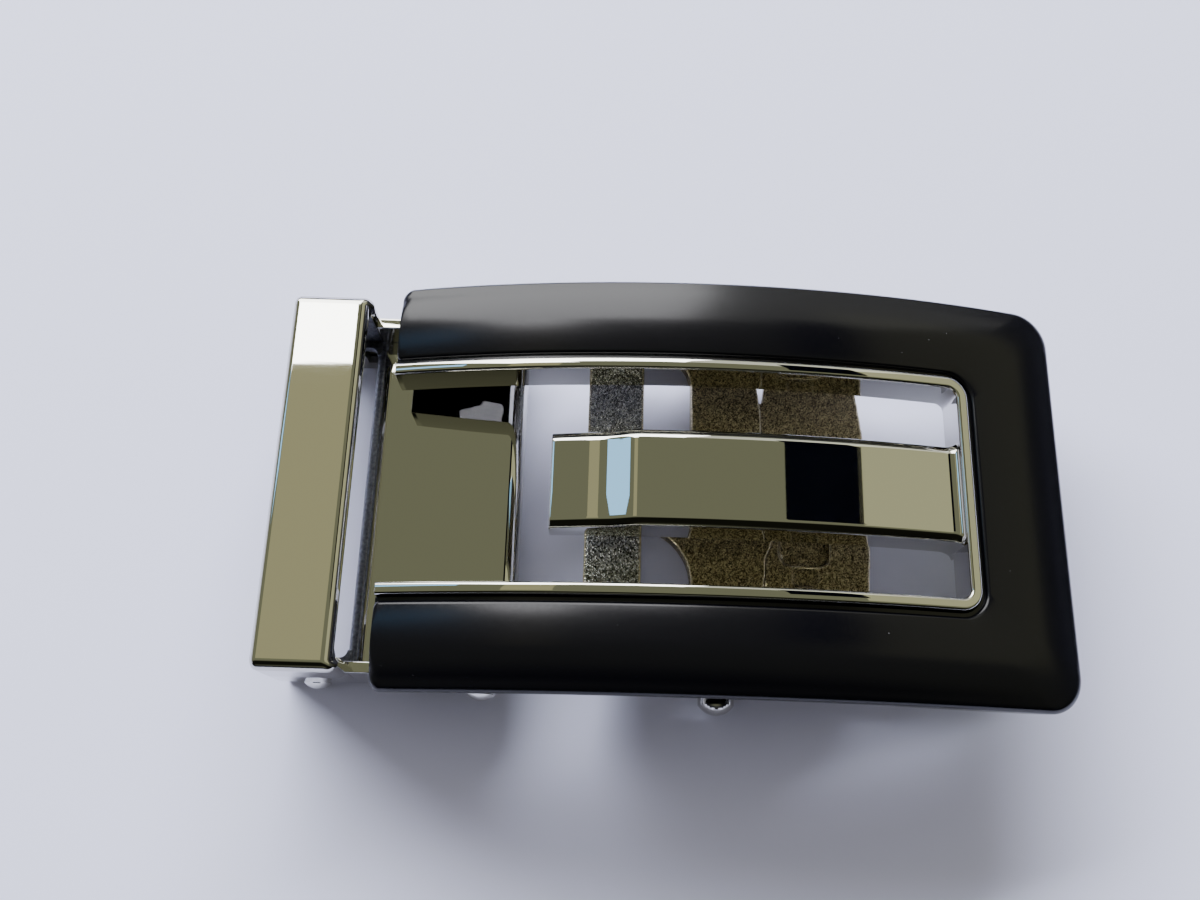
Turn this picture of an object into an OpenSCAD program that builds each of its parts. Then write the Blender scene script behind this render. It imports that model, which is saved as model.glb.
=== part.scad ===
// Ratchet belt buckle: a strap clip with a keeper loop, hinged to an arched open face
// with a sprung pawl behind it. Millimetres, +Z up, +X from the loop to the face's far end,
// origin under the middle of the buckle on the surface it lies on.

/* [Overall] */
// Length over the loop and the face
overall_len = 79.4; // [76:0.1:84]
// How far the loop stands out past the face's left end
loop_out = 11.1; // [10.5:0.1:12]
// Width that the clip's wall, its play and the face's wall take beside the strap
side_w = 3.15; // [3.05:0.05:3.5]
// Height of the face's crest over the table
crest_z = 17.6; // [17.3:0.1:18.5]
// Radius of the face's arch along its length
arch_r = 124; // [110:1:150]
// Distance from the face's left end to the top of its arch
arch_top_x = 30.85; // [29:0.1:33]

/* [Strap] */
// Clear width for the strap between the side walls
strap_w = 35.4; // [34.8:0.1:35.6]
// Height of the surface that the strap slides on
strap_z = 5.7; // [5.5:0.1:6]

/* [Clip] */
// Thickness of the clip's side walls
clip_wall = 1.1; // [0.9:0.05:1.2]
// Thickness of the strap plate
plate_t = 1.1; // [0.9:0.1:1.3]
// Length of the strap plate from the loop's mouth to its round end
plate_len = 15.9; // [15.3:0.1:17]
// Width of the loop's flat bar along the strap
loop_bar_w = 8.2; // [7:0.1:9]
// Height of the loop's top
loop_z = 14; // [13:0.1:14.5]
// Thickness of the loop's top bar
loop_bar_t = 1.6; // [1.2:0.1:2]
// How far the loop stands proud of the clip's side walls
loop_proud = 0.5; // [0.3:0.05:0.5]
// Width of the slot in the plate under the loop's bar
loop_slot_w = 5; // [4:0.1:6]
// How far the side walls rise over the strap plate as guiding lips
lip_h = 3.7; // [3:0.1:4]
// Thickness of the clamp jaw's plate
jaw_t = 1.05; // [0.8:0.05:1.2]
// Number of teeth across the jaw's free end
jaw_teeth = 9; // [5:1:12]
// Height of the jaw's teeth
jaw_tooth_h = 1; // [0.6:0.1:1.4]

/* [Face frame] */
// Corner radius at the face's closed end
corner_r = 3.6; // [2.5:0.1:5]
// Drop of the crowned band from its inner edge to its outer edge
crown_drop = 0.8; // [0.6:0.1:1.4]
// Radius of the band's outer edge
edge_r = 0.9; // [0.6:0.1:1.2]
// Height of the side walls' foot over the table, measured under the crest
foot_z = 8; // [7.6:0.1:8.5]
// How far the side walls draw in towards their lower edge
side_draft = 1; // [0.6:0.1:1.1]
// Thickness of the band's top
band_t = 1.8; // [1.4:0.1:2.2]
// Gap of the groove between the band and the bright rim
groove_w = 0.5; // [0.3:0.05:0.7]
// Depth of that groove
groove_d = 0.8; // [0.5:0.1:1.2]

/* [Face insert] */
// Half of the window's width between the rims
window_half = 10.7; // [10:0.1:11.3]
// Width of the bright rim
rim_w = 1.2; // [0.9:0.1:1.6]
// Depth of the rim's inner wall
rim_depth = 4.7; // [4:0.1:4.9]
// Width of the closed end past the window
end_w = 11.55; // [10.5:0.05:13]
// Radius of the window's inner corners
window_r = 1; // [0.5:0.1:2]
// Thickness of the flange under the arms
flange_t = 0.9; // [0.7:0.1:1.1]
// Width of the centre tongue
tongue_w = 9.8; // [8:0.1:10.5]
// Distance from the face's left end to the tongue's free end
tongue_start = 16.25; // [14:0.1:20]
// How far the tongue's top lies under the crest
tongue_sink = 1.2; // [0.8:0.1:1.6]
// Extra drop of the tongue's free end after its bend
tongue_step = 1.5; // [0.8:0.1:2]
// Depth of the tongue's side walls
tongue_depth = 4.8; // [4:0.1:5]
// Thickness of the tongue's top and walls
tongue_t = 1.2; // [1:0.1:1.6]
// Width of the bevel along the tongue's long edges
bevel_w = 0.8; // [0.4:0.1:1]

/* [Back mechanism] */
// Thickness of the bracket's side cheeks
cheek_t = 1.35; // [1.1:0.05:1.4]
// Width of the fixed cross bar along the strap
bar_w = 6.05; // [5:0.1:6.5]
// Distance from the pawl's pin to the middle of the cross bar
bar_offset = 10.95; // [10.6:0.05:11.5]
// Thickness of the cross bar
bar_t = 1.7; // [1.2:0.1:2]
// Length of the pawl's cross beam along the strap
beam_w = 7.7; // [7:0.1:8.5]
// Length of the release plate from the pin
release_len = 16.2; // [14:0.1:17]
// Length of the pawl's nose from the pin
nose_len = 6.9; // [6:0.1:7]
// Half width of the pawl's nose
nose_half = 2.2; // [1.5:0.1:3]
// Height of the ratchet tooth over the strap's surface
tooth_h = 1.4; // [1:0.1:1.8]

/* [Pins] */
// Radius of the hinge rivets between clip and face
hinge_r = 1.1; // [0.8:0.05:1.3]
// Radius of the clamp jaw's rivets
clamp_r = 0.9; // [0.7:0.05:1.1]
// Radius of the pawl's pin
pawl_r = 1.1; // [0.8:0.05:1.3]
// Radius of the pawl pin's heads
pawl_head_r = 1.85; // [1.6:0.05:2.2]
// Radius of the rivets' heads
rivet_head_r = 1.4; // [1.2:0.05:1.6]
// Running clearance of a turning pin in its hole
pin_play = 0.05; // [0.02:0.01:0.08]

/* [Hidden] */
cut = 0.5;            // how far a cutter runs past the surface it cuts
seat_gap = 0.05;      // gap where two fixed pieces seat
side_play = 0.15;     // sideways gap between a moving piece and its neighbour
face_play = 0.55;     // sideways gap between the clip's ears and the face's walls
seat_fit = 0.02;      // clearance of a riveted pin in the piece that holds it
smooth = 96;          // fragments of small round surfaces
arch_smooth = 720;    // fragments of the arch's full circle

face_len = overall_len - loop_out;
face_w = strap_w + 2 * side_w;
window_len = face_len - end_w;
left_x = -overall_len / 2;
right_x = overall_len / 2;
face_x = right_x - face_len;
face_half = face_w / 2;
top_x = face_x + arch_top_x;
window_end = face_x + window_len;
strap_half = strap_w / 2;

clip_half = strap_half + clip_wall;
loop_half = clip_half + loop_proud;
mouth_x = left_x + loop_bar_w;
plate_end = mouth_x + plate_len;
plate_low = strap_z - plate_t;
plate_nose_r = 1.85;
ear_r = 2;
hinge_inset = 10.25;   // from the face's left end to the hinge
hinge_lift = 2.6;      // of the hinge over the strap's surface
hinge_x = face_x + hinge_inset;
hinge_z = strap_z + hinge_lift;
clamp_inset = 4.2;     // from the loop's outer edge to the jaw's rivets
clamp_x = left_x + clamp_inset;
clamp_z = 3;
jaw_low = 0.15;
jaw_half = strap_half - side_play;
jaw_ear_t = 0.8;
jaw_ear_r = clamp_r + 0.65;
jaw_start = clamp_x - jaw_ear_r;
jaw_plate_x = mouth_x - 1.4;    // the jaw's plate starts under the slot's edge, and two arms run on
jaw_end = plate_end - 1.8;
slot_end_gap = 0.8;    // between the slot's ends and the side walls
slot_inset = 0.8;      // from the loop's mouth to the slot's right edge
slot_r = 0.8;

band_inner = window_half + rim_w;
band_flat = band_inner + groove_w + 0.4;
crown_w = face_half - edge_r - band_flat;
crown_r = (crown_w * crown_w + crown_drop * crown_drop) / (2 * crown_drop);
crown_a = asin(crown_w / crown_r);
band_sink = 0.15;
edge_depth = band_sink + crown_drop + edge_r * cos(crown_a);
side_depth = crest_z - foot_z;
wall_inner = clip_half + face_play;
mouth_depth = 3.4;
arm_r = 1.2;           // of the outer corners at the arms' left ends
end_rise_x = right_x - 18;

tongue_half = tongue_w / 2;
bend_w = 12;

cheek_inner = strap_half + side_play;
cheek_outer = cheek_inner + cheek_t;
pawl_inset = 33.7;     // from the face's left end to the pawl's pin
pawl_x = face_x + pawl_inset;
pawl_z = 3;
lobe_r = pawl_z;
bar_x = pawl_x - bar_offset;
bar_top = strap_z - 0.8;
cheek_top = crest_z - band_sink - crown_drop - band_t - 0.75;
cheek_run = 9;         // of the cheeks past the pawl's pin
cheek_end = pawl_x + cheek_run;
lever_gap = 0.9;       // between the pawl and the cheeks' inner line
lever_half = strap_half - lever_gap;
beam_lead = 2.85;      // of the beam in front of the pin
beam_start = pawl_x - beam_lead;
beam_end = beam_start + beam_w;
beam_t = 1.9;
beam_top = strap_z - 0.3;
boss_r = 2;
release_top = beam_top - 0.7;
release_t = 1.5;
cup_inset = 4.4;       // from the beam to the middle of the finger recess
cup_half_w = 2.6;
cup_half_y = 5.8;
cup_r = 1.2;
dimple_w = 2.6;
dimple_gap = 0.3;      // between the recess and a dimple beside it
dimple_y = 1.9;
release_end = pawl_x + release_len;
wedge_y = 9.5;         // from here outwards an open wedge parts the beam from the release plate
nose_fillet = 6;
stop_z = release_top - release_t - 0.1;

// Height of the arch's crest line over a place along the buckle
function crest(x) = crest_z - arch_r + sqrt(arch_r * arch_r - (x - top_x) * (x - top_x));

// Points of an arc, from angle a0 to a1 in n steps
function arc(cx, cy, r, a0, a1, n) =
    [for (i = [0:n]) let (a = a0 + (a1 - a0) * i / n) [cx + r * cos(a), cy + r * sin(a)]];

// Sweeps a section along the arch: section x is the radius, section y runs across the buckle
module arch_sweep() {
    translate([top_x, 0, crest_z - arch_r])
        rotate([90, 0, 0])
            rotate([0, 0, 68])
                rotate_extrude(angle = 44, $fn = arch_smooth) children();
}

// Extrudes an x, z outline across the buckle between two y places
module across(y0, y1) {
    translate([0, y1, 0]) rotate([90, 0, 0]) linear_extrude(height = y1 - y0) children();
}

// The same outline on both sides, from inner to outer distance off the centre line
module both_sides(inner, outer) {
    across(inner, outer) children();
    across(-outer, -inner) children();
}

// A pin along Y between two places
module cross_pin(x, z, r, y0, y1) {
    translate([x, y1, z]) rotate([90, 0, 0]) cylinder(h = y1 - y0, r = r, $fn = smooth);
}

// A plan outline with rounded corners at its right end, and at its left end where left_r is given
module round_end_plan(x0, x1, half, r, left_r = 0) {
    near = left_r > 0 ? arc(x0 + left_r, -half + left_r, left_r, 180, 270, 6) : [[x0, -half]];
    far = left_r > 0 ? arc(x0 + left_r, half - left_r, left_r, 90, 180, 6) : [[x0, half]];
    polygon(concat(near, arc(x1 - r, -half + r, r, -90, 0, 12), arc(x1 - r, half - r, r, 0, 90, 12), far));
}

// A rectangle's plan outline with four round corners
module round_plan(x, half_w, half_y, r) {
    polygon([for (c = [[1, 1], [-1, 1], [-1, -1], [1, -1]], i = [0:6])
        let (a = atan2(c[1], c[0]) - 45 + 15 * i)
        [x + c[0] * (half_w - r) + r * cos(a), c[1] * (half_y - r) + r * sin(a)]]);
}

// Domed rivet: shank from y0, head seated at y1 with a straight rim and a dome
module domed_pin(x, z, r, head_r, y0, y1, rim_h, dome_h) {
    ball_r = (head_r * head_r + dome_h * dome_h) / (2 * dome_h);
    translate([x, 0, z]) rotate([-90, 0, 0]) rotate_extrude($fn = smooth)
        polygon(concat([[0, y0], [r, y0], [r, y1], [head_r, y1]],
                       arc(0, y1 + rim_h + dome_h - ball_r, ball_r, 90 - asin(head_r / ball_r), 90, 10)));
}

// Side outline of the clip: lower walls with a round-nosed plate over them
module clip_side_outline() {
    translate([left_x + 0.4, 0]) square([plate_end - plate_nose_r - left_x - 0.4, strap_z]);
    translate([plate_end - plate_nose_r, strap_z - plate_nose_r]) circle(r = plate_nose_r, $fn = smooth);
}

// Lip that rises from the clip's side wall, from the loop to the ear round the hinge rivet
module lip_outline() {
    lip_z = strap_z + lip_h;
    polygon(concat([[mouth_x - cut, strap_z - plate_t], [hinge_x + ear_r, strap_z - plate_t]],
                   arc(hinge_x, hinge_z, ear_r, 0, 130, 18),
                   [[hinge_x - 2 * ear_r, lip_z], [mouth_x - cut, lip_z]]));
}

module clip() {
    color([0.8, 0.81, 0.82]) difference() {
        union() {
            across(-clip_half, clip_half) clip_side_outline();
            both_sides(strap_half, clip_half) lip_outline();
            across(-loop_half, loop_half)
                translate([left_x, strap_z - plate_t]) square([loop_bar_w, loop_z - strap_z + plate_t]);
        }
        // the loop's opening
        translate([left_x - cut, -strap_half, strap_z])
            cube([loop_bar_w + 2 * cut, strap_w, loop_z - loop_bar_t - strap_z]);
        // the slot under the bar, through which the casting leaves its mould
        translate([0, 0, -cut]) linear_extrude(height = strap_z + 2 * cut)
            round_plan(mouth_x - slot_inset - loop_slot_w / 2, loop_slot_w / 2,
                       strap_half - slot_end_gap, slot_r);
        // the strap end's room under the plate
        translate([left_x - cut, -strap_half, -cut])
            cube([plate_end - plate_nose_r - left_x + cut, strap_w, plate_low + cut]);
        translate([plate_end - plate_nose_r - cut, -strap_half, -cut])
            cube([plate_nose_r + 2 * cut, strap_w, strap_z - plate_nose_r + cut]);
        cross_pin(hinge_x, hinge_z, hinge_r + pin_play, -loop_half - cut, loop_half + cut);
        cross_pin(clamp_x, clamp_z, clamp_r + seat_fit, -loop_half - cut, loop_half + cut);
    }
}

// Toothed jaw that folds down from under the clip on its two rivets
module clamp_jaw() {
    tooth_pitch = 2 * (jaw_half - jaw_ear_t) / jaw_teeth;
    color([0.72, 0.71, 0.68]) difference() {
        union() {
            translate([jaw_plate_x, -jaw_half, jaw_low])
                cube([jaw_end - jaw_plate_x, 2 * jaw_half, jaw_t]);
            both_sides(jaw_half - jaw_ear_t, jaw_half) {
                translate([clamp_x, clamp_z]) circle(r = jaw_ear_r, $fn = smooth);
                translate([jaw_start, jaw_low]) square([2 * jaw_ear_r, clamp_z - jaw_low]);
                translate([jaw_start, jaw_low]) square([jaw_plate_x - jaw_start + cut, 1.6 * jaw_t]);
            }
            for (i = [0:jaw_teeth - 1])
                translate([jaw_end, -jaw_half + jaw_ear_t + tooth_pitch * i, jaw_low + jaw_t])
                    rotate([90, 0, -90]) linear_extrude(height = 1.2)
                        polygon([[0, -cut], [-tooth_pitch, -cut], [-tooth_pitch, 0],
                                 [-tooth_pitch / 2, jaw_tooth_h], [0, 0]]);
        }
        cross_pin(clamp_x, clamp_z, clamp_r + pin_play, -jaw_half - cut, jaw_half + cut);
    }
}

// Cross section of the black band over the arch, mirrored about the centre line
module band_section() {
    crown_cx = arch_r - band_sink - crown_r;
    edge_cx = arch_r - edge_depth;
    edge_cy = face_half - edge_r;
    half = concat(
        arc(crown_cx, band_flat, crown_r, 0, crown_a, 6),
        arc(edge_cx, edge_cy, edge_r, 90 - (90 - crown_a) * 0.999, 90, 6),
        [[arch_r - side_depth, face_half - side_draft]]);
    polygon(concat(half, [for (i = [len(half) - 1:-1:0]) [half[i][0], -half[i][1]]]));
}

// Side outline of the face: open upwards, crowned at the closed end, with a rising lower edge
module face_side_outline() {
    n = 8;
    drop_x = window_end + rim_w + groove_w;
    drop_w = right_x - edge_r - drop_x;
    end_r = (drop_w * drop_w + crown_drop * crown_drop) / (2 * crown_drop);
    end_top = crest(right_x - edge_r) - band_sink - crown_drop;
    crown_line = [for (i = [0:n]) let (x = drop_x + drop_w * i / n)
        [x, crest(x) - band_sink - end_r + sqrt(end_r * end_r - (x - drop_x) * (x - drop_x))]];
    low_line = [for (i = [n:-1:0]) let (x = end_rise_x + (right_x - end_rise_x) * i / n)
        [x, crest(x) - side_depth + (side_depth - mouth_depth) * pow(i / n, 2)]];
    polygon(concat([[face_x, crest_z + cut], [drop_x, crest_z + cut]], crown_line,
                   [[right_x - edge_r * 0.3, end_top - edge_r * 0.3], [right_x, end_top - edge_r]],
                   low_line, [[end_rise_x, 0], [face_x, 0]]));
}

module face_frame() {
    color([0.06, 0.06, 0.065]) difference() {
        intersection() {
            arch_sweep() band_section();
            linear_extrude(height = crest_z + cut)
                round_end_plan(face_x, right_x, face_half, corner_r, arm_r);
            across(-face_half, face_half) face_side_outline();
        }
        // the hollow under the band
        intersection() {
            arch_sweep() translate([arch_r - 2 * side_depth, -wall_inner])
                square([2 * side_depth - band_t - crown_drop - band_sink, 2 * wall_inner]);
            linear_extrude(height = crest_z)
                round_end_plan(face_x - cut, right_x - 1.6, wall_inner, corner_r - 1.6);
        }
        // the strap's way in under the closed end
        intersection() {
            arch_sweep() translate([arch_r - 2 * side_depth, -cheek_inner])
                square([2 * side_depth - mouth_depth, 2 * cheek_inner]);
            translate([right_x - 5, -cheek_inner, -cut]) cube([5 + cut, 2 * cheek_inner, crest_z]);
        }
        // the window, with the groove round it
        translate([0, 0, -cut]) linear_extrude(height = crest_z + 2 * cut)
            round_end_plan(face_x - cut, window_end + rim_w + seat_gap, band_inner + seat_gap,
                           window_r + rim_w);
        intersection() {
            arch_sweep() translate([arch_r - groove_d, -face_half]) square([2 * groove_d, face_w]);
            linear_extrude(height = crest_z + 2 * cut)
                round_end_plan(face_x - cut, window_end + rim_w + groove_w, band_inner + groove_w,
                               window_r + rim_w + groove_w);
        }
        cross_pin(hinge_x, hinge_z, hinge_r + seat_fit, -face_half - cut, face_half + cut);
    }
}

// Side outline of the centre tongue: arched, then bent down to a low free end
module tongue_outline() {
    x0 = face_x + tongue_start;
    bend = [[0, -1], [0.2, -0.8], [0.4, -0.62], [0.475, -0.53], [0.55, -0.34], [0.63, -0.12], [0.71, 0]];
    n = 14;
    x1 = x0 + bend_w;
    function top(x) = crest(x) - tongue_sink;
    upper = concat(
        [for (p = bend) let (x = x0 + bend_w * p[0]) [x, top(x) + tongue_step * p[1]]],
        [for (i = [0:n]) let (x = x1 + (window_end + rim_w / 2 - x1) * i / n) [x, top(x)]]);
    lower = [for (i = [n:-1:0]) let (x = x0 + 0.3 + (window_end + rim_w / 2 - x0 - 0.3) * i / n)
        [x, top(x) - tongue_depth]];
    polygon(concat(upper, lower));
}

// What the bevels cut off the tongue's long edges
module bevel_cut() {
    for (s = [-1, 1]) arch_sweep() polygon([[arch_r - tongue_sink, s * (tongue_half - bevel_w)],
        [arch_r - tongue_sink - bevel_w / 2, s * (tongue_half + cut / 10)],
        [arch_r + cut, s * (tongue_half + cut / 10)], [arch_r + cut, s * (tongue_half - bevel_w)]]);
}

module face_insert() {
    color([0.8, 0.81, 0.82]) difference() {
        union() {
            // the rim and its inner wall
            intersection() {
                arch_sweep() union() {
                    translate([arch_r - rim_depth, -band_inner])
                        square([rim_depth - rim_w / 2, 2 * band_inner]);
                    for (s = [-1, 1]) translate([arch_r - rim_w / 2, s * (band_inner - rim_w / 2)])
                        circle(r = rim_w / 2, $fn = 48);
                    translate([arch_r - rim_depth, -band_inner + rim_w / 2])
                        square([rim_depth - 0.2, 2 * band_inner - rim_w]);
                }
                linear_extrude(height = crest_z + cut)
                    round_end_plan(face_x, window_end + rim_w, band_inner, window_r + rim_w);
            }
            // the flange under the band
            intersection() {
                arch_sweep() translate([arch_r - rim_depth, -strap_half + 0.5])
                    square([flange_t, strap_w - 1]);
                linear_extrude(height = crest_z)
                    round_end_plan(face_x + 0.6, window_end + rim_w + 3.5, strap_half - 0.5,
                                   window_r + rim_w);
            }
        }
        // the window between the rims
        translate([0, 0, -cut]) linear_extrude(height = crest_z + 2 * cut)
            round_end_plan(face_x - cut, window_end, window_half, window_r);
    }
    color([0.8, 0.81, 0.82]) difference() {
        across(-tongue_half, tongue_half) tongue_outline();
        bevel_cut();
        // the hollow under the tongue
        across(-tongue_half + tongue_t, tongue_half - tongue_t) intersection() {
            translate([0, -tongue_t]) tongue_outline();
            translate([face_x + tongue_start + tongue_t, 0])
                square([window_len - tongue_start - 2 * tongue_t, crest_z]);
        }
    }
}

// Cast bracket behind the face: two cheeks, the cross bar and the pawl's stops
module back_bracket() {
    color([0.55, 0.51, 0.43]) difference() {
        union() {
            both_sides(cheek_inner, cheek_outer) {
                translate([pawl_x, pawl_z]) circle(r = lobe_r, $fn = smooth);
                polygon([[bar_x - bar_w / 2, bar_top - bar_t], [pawl_x - lobe_r, pawl_z],
                         [pawl_x + lobe_r, pawl_z], [cheek_end, stop_z - 0.8],
                         [cheek_end, cheek_top], [bar_x - bar_w / 2, cheek_top]]);
            }
            translate([bar_x - bar_w / 2, -cheek_outer, bar_top - bar_t])
                cube([bar_w, 2 * cheek_outer, bar_t]);
            both_sides(lever_half - 0.8, cheek_outer)
                translate([cheek_end - 2, stop_z - 0.8]) square([2, 0.8]);
        }
        cross_pin(pawl_x, pawl_z, pawl_r + seat_fit, -cheek_outer - cut, cheek_outer + cut);
    }
}

// Plan outline of the raised cross beam with its nose
module beam_plan() {
    fillet_x = beam_start - nose_fillet;
    tip_x = pawl_x - nose_len;
    fillet_y = nose_half + nose_fillet;
    tip_a = acos(min(1, (tip_x - fillet_x) / nose_fillet));
    flank = arc(fillet_x, -fillet_y, nose_fillet, 0, tip_a, 10);
    back = [[beam_end - 0.8, lever_half], [beam_end - 0.1, 11], [beam_end, 8], [beam_end + 0.2, 5.2],
            [beam_end + 1.4, 2.6]];
    polygon(concat(
        [[beam_start, -lever_half]], flank,
        [[tip_x, -nose_half + 0.2], [tip_x, nose_half - 0.2]],
        [for (i = [len(flank) - 1:-1:0]) [flank[i][0], -flank[i][1]]],
        [[beam_start, lever_half]], back,
        [for (i = [len(back) - 1:-1:0]) [back[i][0], -back[i][1]]]));
}

// Plan outline of the release plate behind the beam
module release_plan() {
    side = [[beam_end - 0.2, wedge_y], [beam_end + 0.8, lever_half - 0.2],
            [release_end - 1.2, lever_half - 0.2], [release_end - 0.3, 9.5], [release_end, 4]];
    start = [[beam_start + 1, wedge_y]];
    polygon(concat(start, side, [for (i = [len(side) - 1:-1:0]) [side[i][0], -side[i][1]]],
                   [[start[0][0], -start[0][1]]]));
}

module pawl_lever() {
    color([0.58, 0.53, 0.42]) difference() {
        union() {
            translate([0, 0, beam_top - beam_t]) linear_extrude(height = beam_t) beam_plan();
            translate([0, 0, release_top - release_t]) linear_extrude(height = release_t) release_plan();
            cross_pin(pawl_x, pawl_z, boss_r, -lever_half, lever_half);
            // the ratchet tooth at the nose's tip
            across(-nose_half + 0.2, nose_half - 0.2)
                polygon([[pawl_x - nose_len, beam_top - 1],
                         [pawl_x - nose_len + 2 * tooth_h, beam_top - 1],
                         [pawl_x - nose_len + 1.7 * tooth_h, beam_top],
                         [pawl_x - nose_len + 0.4 * tooth_h, strap_z + tooth_h],
                         [pawl_x - nose_len, strap_z + tooth_h]]);
        }
        // the finger recess in the release plate, with a dimple at each side
        translate([0, 0, release_top - 0.8]) linear_extrude(height = 2)
            round_plan(beam_end + cup_inset, cup_half_w, cup_half_y, cup_r);
        for (s = [-1, 1])
            translate([beam_end + cup_inset - dimple_w / 2,
                       s * (cup_half_y + dimple_gap + dimple_y / 2) - dimple_y / 2, release_top - 0.4])
                cube([dimple_w, dimple_y, 2]);
        cross_pin(pawl_x, pawl_z, pawl_r + pin_play, -lever_half - cut, lever_half + cut);
    }
}

// The pawl's pin runs right across, with a domed head on each cheek
module pawl_pin() {
    color([0.8, 0.81, 0.82]) {
        domed_pin(pawl_x, pawl_z, pawl_r, pawl_head_r, 0, cheek_outer + seat_gap, 1, 1);
        mirror([0, 1, 0])
            domed_pin(pawl_x, pawl_z, pawl_r, pawl_head_r, 0, cheek_outer + seat_gap, 1, 1);
    }
}

// Rivet that hinges the clip's ear to the face's side wall, on the far side
module hinge_rivet() {
    depth = crest(hinge_x) - hinge_z - rivet_head_r;
    wall_y = face_half - side_draft * (depth - edge_depth) / (side_depth - edge_depth) + seat_gap;
    domed_pin(hinge_x, hinge_z, hinge_r, rivet_head_r, strap_half, wall_y, 0.1, 0.55);
}

// Rivet that hinges the clamp jaw to the clip's side wall, on the far side
module clamp_rivet() {
    domed_pin(clamp_x, clamp_z, clamp_r, rivet_head_r, jaw_half - jaw_ear_t, clip_half + seat_gap, 0.4, 0.6);
}

module hinge_rivet_near() { color([0.8, 0.81, 0.82]) mirror([0, 1, 0]) hinge_rivet(); }
module hinge_rivet_far() { color([0.8, 0.81, 0.82]) hinge_rivet(); }
module clamp_rivet_near() { color([0.8, 0.81, 0.82]) mirror([0, 1, 0]) clamp_rivet(); }
module clamp_rivet_far() { color([0.8, 0.81, 0.82]) clamp_rivet(); }

clip();
clamp_jaw();
face_frame();
face_insert();
back_bracket();
pawl_lever();
pawl_pin();
hinge_rivet_near();
hinge_rivet_far();
clamp_rivet_near();
clamp_rivet_far();
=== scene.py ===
import bpy
import bmesh
import math
from mathutils import Matrix, Vector


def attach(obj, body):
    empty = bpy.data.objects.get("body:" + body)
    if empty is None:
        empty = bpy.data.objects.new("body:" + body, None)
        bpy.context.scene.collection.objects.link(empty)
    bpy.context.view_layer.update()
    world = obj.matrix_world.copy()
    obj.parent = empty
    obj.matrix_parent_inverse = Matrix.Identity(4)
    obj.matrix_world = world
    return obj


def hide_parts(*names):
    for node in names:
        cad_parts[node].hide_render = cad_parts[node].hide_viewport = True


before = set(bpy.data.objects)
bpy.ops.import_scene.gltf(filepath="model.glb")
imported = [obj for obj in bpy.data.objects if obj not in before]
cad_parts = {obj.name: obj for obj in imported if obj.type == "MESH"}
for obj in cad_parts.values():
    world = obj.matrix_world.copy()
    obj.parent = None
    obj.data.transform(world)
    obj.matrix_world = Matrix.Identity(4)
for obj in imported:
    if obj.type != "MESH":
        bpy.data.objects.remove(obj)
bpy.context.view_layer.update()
mm = 0.001


def hexColor(code):    # sRGB hex to linear colour
    parts = [int(code[i:i + 2], 16) / 255 for i in (1, 3, 5)]
    return tuple(p / 12.92 if p <= 0.04045 else ((p + 0.055) / 1.055) ** 2.4 for p in parts) + (1.0,)


def addNode(tree, kind, settings=None, **links):
    # one shader node: settings set its properties or sockets, and links join its inputs to other outputs;
    # a link's name is the input's own, with _ for a space, or i and the input's number
    node = tree.nodes.new(kind)
    for key, value in (settings or {}).items():
        if isinstance(key, str) and hasattr(node, key):
            setattr(node, key, value)
        else:
            node.inputs[key].default_value = value
    for key, source in links.items():
        name = key.replace("_", " ")
        target = node.inputs[int(key[1:])] if key[0] == "i" and key[1:].isdigit() else node.inputs[name]
        tree.links.new(source, target)
    return node


def newMaterial(name):
    material = bpy.data.materials.new(name)
    material.use_nodes = True
    tree = material.node_tree
    shader = tree.nodes["Principled BSDF"]
    place = addNode(tree, "ShaderNodeTexCoord").outputs["Object"]
    return material, tree, shader, place


# Polished chrome plating: a clear dark-toned mirror, with fine wiping scratches and a soft waviness
chromeLook = {"color": "#c9c8c4", "rough": 0.012, "haze": 0.03, "smear": 6.0, "scratch": 0.2,
              "scratchDepth": 0.004, "wave": 9.0, "waveHeight": 0.035}


def chromePlating(name, look):
    material, tree, shader, place = newMaterial(name)
    shader.inputs["Metallic"].default_value = 1.0
    shader.inputs["Base Color"].default_value = hexColor(look["color"])
    # smears from handling
    smear = addNode(tree, "ShaderNodeTexNoise", {"Scale": 1 / (look["smear"] * mm), "Detail": 4.0},
                    Vector=place)
    # wiping scratches run along the strap: 0.05 mm wide, and drawn four times as wide to show
    stretch = addNode(tree, "ShaderNodeMapping", {"Scale": (0.03, 1.0, 1.0)}, Vector=place)
    scratch = addNode(tree, "ShaderNodeTexNoise", {"Scale": 1 / (look["scratch"] * mm), "Detail": 2.0},
                      Vector=stretch.outputs["Vector"])
    blend = addNode(tree, "ShaderNodeMath", {"operation": "MULTIPLY"}, i0=smear.outputs["Fac"],
                    i1=scratch.outputs["Fac"])
    rough = addNode(tree, "ShaderNodeMapRange",
                    {"To Min": look["rough"], "To Max": look["rough"] + look["haze"]},
                    Value=blend.outputs["Value"])
    tree.links.new(rough.outputs["Result"], shader.inputs["Roughness"])
    # the polishing wheel leaves the casting softly wavy
    wave = addNode(tree, "ShaderNodeTexNoise", {"Scale": 1 / (look["wave"] * mm), "Detail": 0.0}, Vector=place)
    bump = addNode(tree, "ShaderNodeBump", {"Strength": 0.25, "Distance": look["waveHeight"] * mm},
                   Height=wave.outputs["Fac"])
    fine = addNode(tree, "ShaderNodeBump", {"Strength": 0.04, "Distance": look["scratchDepth"] * mm},
                   Height=scratch.outputs["Fac"], Normal=bump.outputs["Normal"])
    tree.links.new(fine.outputs["Normal"], shader.inputs["Normal"])
    return material


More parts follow.
